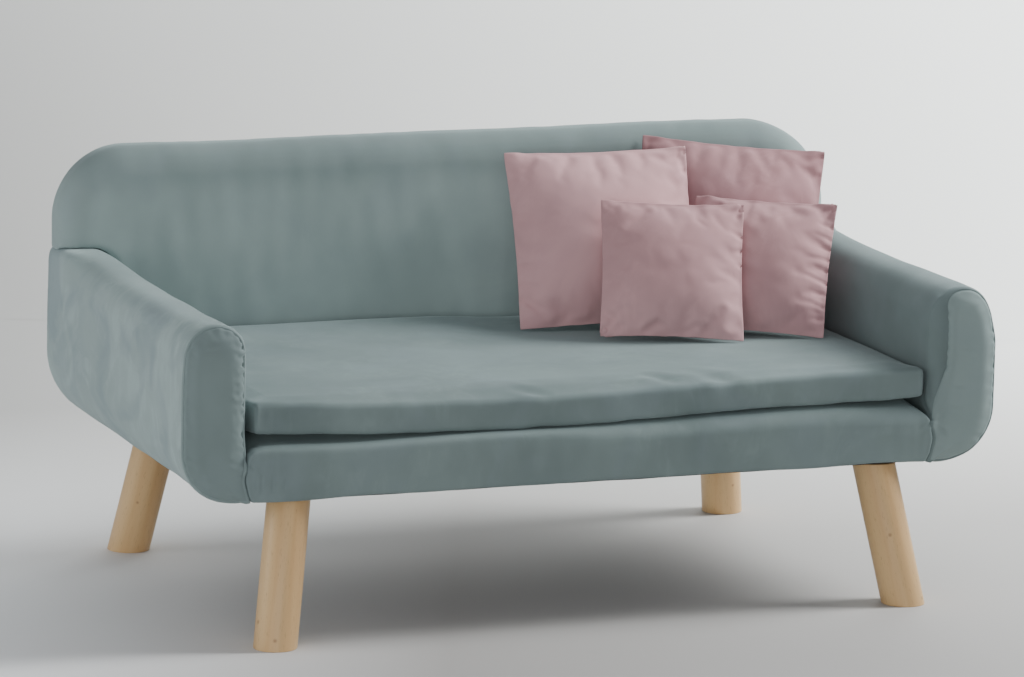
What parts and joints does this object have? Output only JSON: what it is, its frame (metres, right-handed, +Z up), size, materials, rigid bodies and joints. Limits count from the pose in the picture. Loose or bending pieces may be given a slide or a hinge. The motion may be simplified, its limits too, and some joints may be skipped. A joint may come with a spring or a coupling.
{
  "type": "dog sofa bed",
  "caption": "Small upholstered dog sofa bed with rounded arms, a tall rounded backrest, splayed round wooden legs, a loose mattress and scatter cushions",
  "frame": {"origin": "On the floor, in the middle of the footprint between the four feet", "axes": "+X to the viewer's right along the width, +Y to the rear so that the open front looks to -Y, +Z up"},
  "size_m": [1, 0.5822, 0.5],
  "materials": {
    "sage_velvet": "short-pile velvet with a soft sheen, grey-green",
    "rose_velvet": "short-pile velvet with a soft sheen, dusty rose",
    "black_cloth": "thin non-woven cloth, matt",
    "foam": "open-cell upholstery foam, matt",
    "wadding": "loose polyester fibre, matt",
    "beech": "turned beech, clear satin lacquer",
    "pine": "planed softwood, unfinished",
    "plywood": "plywood, unfinished",
    "hardboard": "hardboard, one side smooth",
    "steel": "zinc-plated steel"
  },
  "bodies": {
    "sofa": {"front_rail": "pine", "rear_rail": "pine", "left_rail": "pine", "right_rail": "pine", "centre_rail": "pine", "front_left_brace": "pine", "front_right_brace": "pine", "rear_left_brace": "pine", "rear_right_brace": "pine", "seat_deck": "plywood", "deck_screws": "steel", "back_ledge": "pine", "front_left_leg": "beech", "front_right_leg": "beech", "rear_left_leg": "beech", "rear_right_leg": "beech", "leg_bolts": "steel", "leg_nuts": "steel", "left_arm_front_former": "plywood", "left_arm_rear_former": "plywood", "left_arm_top_rail": "pine", "left_arm_foot_rail": "pine", "left_arm_wrap": "hardboard", "left_arm_foam": "foam", "left_arm_cover": "sage_velvet", "right_arm_front_former": "plywood", "right_arm_rear_former": "plywood", "right_arm_top_rail": "pine", "right_arm_foot_rail": "pine", "right_arm_wrap": "hardboard", "right_arm_foam": "foam", "right_arm_cover": "sage_velvet", "arm_bolts": "steel", "arm_nuts": "steel", "back_board": "plywood", "back_foot_rail": "pine", "back_bolts": "steel", "back_nuts": "steel", "back_foam": "foam", "back_cover": "sage_velvet", "seat_foam": "foam", "rear_foam": "foam", "base_cover": "sage_velvet", "dust_cloth": "black_cloth"},
    "mattress": {"mattress_foam": "foam", "mattress_cover": "sage_velvet"},
    "large_right_cushion": {"large_right_filling": "wadding", "large_right_cover": "rose_velvet"},
    "large_left_cushion": {"large_left_filling": "wadding", "large_left_cover": "rose_velvet"},
    "small_right_cushion": {"small_right_filling": "wadding", "small_right_cover": "rose_velvet"},
    "small_front_cushion": {"small_front_filling": "wadding", "small_front_cover": "rose_velvet"}
  },
  "joints": [
    {"name": "mattress_lift", "type": "slide", "parent": "sofa", "child": "mattress", "axis": [0, 0, 1], "range_m": [0, 0.3]},
    {"name": "large_right_cushion_lift", "type": "slide", "parent": "mattress", "child": "large_right_cushion", "axis": [0, 0, 1], "range_m": [0, 0.3]},
    {"name": "large_left_cushion_lift", "type": "slide", "parent": "large_right_cushion", "child": "large_left_cushion", "axis": [0, 0, 1], "range_m": [0, 0.3]},
    {"name": "small_right_cushion_lift", "type": "slide", "parent": "large_left_cushion", "child": "small_right_cushion", "axis": [0, 0, 1], "range_m": [0, 0.25]},
    {"name": "small_front_cushion_lift", "type": "slide", "parent": "small_right_cushion", "child": "small_front_cushion", "axis": [0, 0, 1], "range_m": [0, 0.25]}
  ]
}
